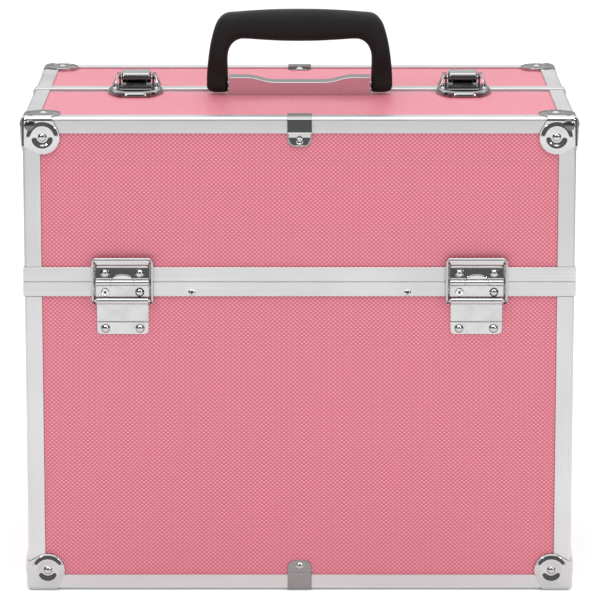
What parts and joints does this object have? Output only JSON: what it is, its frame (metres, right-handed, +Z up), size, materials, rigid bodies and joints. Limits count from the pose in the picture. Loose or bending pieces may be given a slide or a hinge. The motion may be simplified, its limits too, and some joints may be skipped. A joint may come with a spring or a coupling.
{
  "type": "makeup train case",
  "caption": "Hard-sided cosmetics case with a split lid that opens to the front and back, cantilever trays, lever latches and a folding carrying handle.",
  "frame": {"origin": "centre of the footprint, on the floor that the ball corners stand on", "axes": "+X to the user's right when facing the front hinges, +Y to the rear, +Z up"},
  "size_m": [0.372, 0.2502, 0.3837],
  "materials": {
    "pink_panel": "fine raised dots on pink laminate",
    "aluminium": "satin extruded",
    "chrome": "bright plated",
    "black_grip": "fine moulded grain",
    "black_lining": "short pile",
    "tray_plastic": "moulded",
    "plated_steel": "zinc plated"
  },
  "bodies": {
    "base": {"base_front_panel": "pink_panel", "base_back_panel": "pink_panel", "base_side_panels": "pink_panel", "base_floor_panel": "pink_panel", "base_lining": "black_lining", "base_rim_profiles": "aluminium", "base_edge_profiles": "aluminium", "bottom_ball_corners": "chrome", "bottom_edge_clips": "chrome", "base_rivets": "chrome", "hinge_base_leaves": "chrome", "stay_plates": "chrome", "hinge_pins": "chrome", "arm_brackets": "plated_steel"},
    "front_lid": {"front_lid_face_panel": "pink_panel", "front_lid_top_panel": "pink_panel", "front_lid_side_panels": "pink_panel", "front_lid_lining": "black_lining", "front_lid_edge_profiles": "aluminium", "front_lid_rim_profiles": "aluminium", "front_lid_closing_profiles": "aluminium", "front_lid_ball_corners": "chrome", "front_lid_edge_clip": "chrome", "front_lid_rivets": "chrome", "front_hinge_lid_leaves": "chrome", "handle_bracket": "chrome", "handle_pins": "chrome", "latch_keepers": "chrome"},
    "rear_lid": {"rear_lid_face_panel": "pink_panel", "rear_lid_top_panel": "pink_panel", "rear_lid_side_panels": "pink_panel", "rear_lid_lining": "black_lining", "rear_lid_edge_profiles": "aluminium", "rear_lid_rim_profiles": "aluminium", "rear_lid_closing_profiles": "aluminium", "rear_lid_ball_corners": "chrome", "rear_lid_edge_clip": "chrome", "rear_lid_rivets": "chrome", "rear_hinge_lid_leaves": "chrome", "latch_bases": "chrome", "latch_pins": "chrome"},
    "front_arms": {"front_tray_arms": "plated_steel", "front_arm_pins": "plated_steel"},
    "front_stays": {"front_hinge_yokes": "chrome"},
    "front_lower_tray": {"front_lower_tray": "tray_plastic", "front_lower_tray_dividers": "tray_plastic"},
    "front_upper_tray": {"front_upper_tray": "tray_plastic", "front_upper_tray_dividers": "tray_plastic"},
    "rear_arms": {"rear_tray_arms": "plated_steel", "rear_arm_pins": "plated_steel"},
    "rear_stays": {"rear_hinge_yokes": "chrome"},
    "rear_lower_tray": {"rear_lower_tray": "tray_plastic", "rear_lower_tray_dividers": "tray_plastic"},
    "rear_upper_tray": {"rear_upper_tray": "tray_plastic", "rear_upper_tray_dividers": "tray_plastic"},
    "handle": {"handle_grip": "black_grip"},
    "latch_left": {"latch_lever_left": "chrome", "latch_hook_left": "chrome"},
    "latch_right": {"latch_lever_right": "chrome", "latch_hook_right": "chrome"}
  },
  "joints": [
    {"name": "front_lid_hinge", "type": "hinge", "parent": "base", "child": "front_lid", "pos_m": [0, -0.1228, 0.215], "axis": [1, 0, 0], "range_deg": [0, 90]},
    {"name": "front_arm_pivot", "type": "hinge", "parent": "base", "child": "front_arms", "pos_m": [0, -0.0978, 0.2125], "axis": [1, 0, 0], "range_deg": [0, 90]},
    {"name": "front_stay_pivot", "type": "hinge", "parent": "base", "child": "front_stays", "pos_m": [0, -0.1228, 0.2025], "axis": [1, 0, 0], "range_deg": [0, 66]},
    {"name": "front_lower_tray_pivot", "type": "hinge", "parent": "front_lid", "child": "front_lower_tray", "pos_m": [0, -0.09734, 0.24046], "axis": [1, 0, 0], "range_deg": [-90, 0]},
    {"name": "front_upper_tray_pivot", "type": "hinge", "parent": "front_lid", "child": "front_upper_tray", "pos_m": [0, -0.06199, 0.27581], "axis": [1, 0, 0], "range_deg": [-90, 0]},
    {"name": "rear_lid_hinge", "type": "hinge", "parent": "base", "child": "rear_lid", "pos_m": [0, 0.1228, 0.215], "axis": [-1, 0, 0], "range_deg": [0, 90]},
    {"name": "rear_arm_pivot", "type": "hinge", "parent": "base", "child": "rear_arms", "pos_m": [0, 0.0978, 0.2125], "axis": [-1, 0, 0], "range_deg": [0, 90]},
    {"name": "rear_stay_pivot", "type": "hinge", "parent": "base", "child": "rear_stays", "pos_m": [0, 0.1228, 0.2025], "axis": [-1, 0, 0], "range_deg": [0, 66]},
    {"name": "rear_lower_tray_pivot", "type": "hinge", "parent": "rear_lid", "child": "rear_lower_tray", "pos_m": [0, 0.09734, 0.24046], "axis": [-1, 0, 0], "range_deg": [-90, 0]},
    {"name": "rear_upper_tray_pivot", "type": "hinge", "parent": "rear_lid", "child": "rear_upper_tray", "pos_m": [0, 0.06199, 0.27581], "axis": [-1, 0, 0], "range_deg": [-90, 0]},
    {"name": "handle_pivot", "type": "hinge", "parent": "front_lid", "child": "handle", "pos_m": [0, -0.01, 0.3328], "axis": [1, 0, 0], "range_deg": [-72, 78]},
    {"name": "latch_left_lever", "type": "hinge", "parent": "rear_lid", "child": "latch_left", "pos_m": [-0.114, 0.014, 0.3335], "axis": [-1, 0, 0], "range_deg": [0, 80]},
    {"name": "latch_right_lever", "type": "hinge", "parent": "rear_lid", "child": "latch_right", "pos_m": [0.114, 0.014, 0.3335], "axis": [-1, 0, 0], "range_deg": [0, 80]}
  ],
  "couplings": [
    {"joint": "front_arm_pivot", "follows": "front_lid_hinge", "ratio": 1},
    {"joint": "front_stay_pivot", "follows": "front_lid_hinge", "ratio": 0.73},
    {"joint": "front_lower_tray_pivot", "follows": "front_lid_hinge", "ratio": -1},
    {"joint": "front_upper_tray_pivot", "follows": "front_lid_hinge", "ratio": -1},
    {"joint": "rear_arm_pivot", "follows": "rear_lid_hinge", "ratio": 1},
    {"joint": "rear_stay_pivot", "follows": "rear_lid_hinge", "ratio": 0.73},
    {"joint": "rear_lower_tray_pivot", "follows": "rear_lid_hinge", "ratio": -1},
    {"joint": "rear_upper_tray_pivot", "follows": "rear_lid_hinge", "ratio": -1}
  ]
}
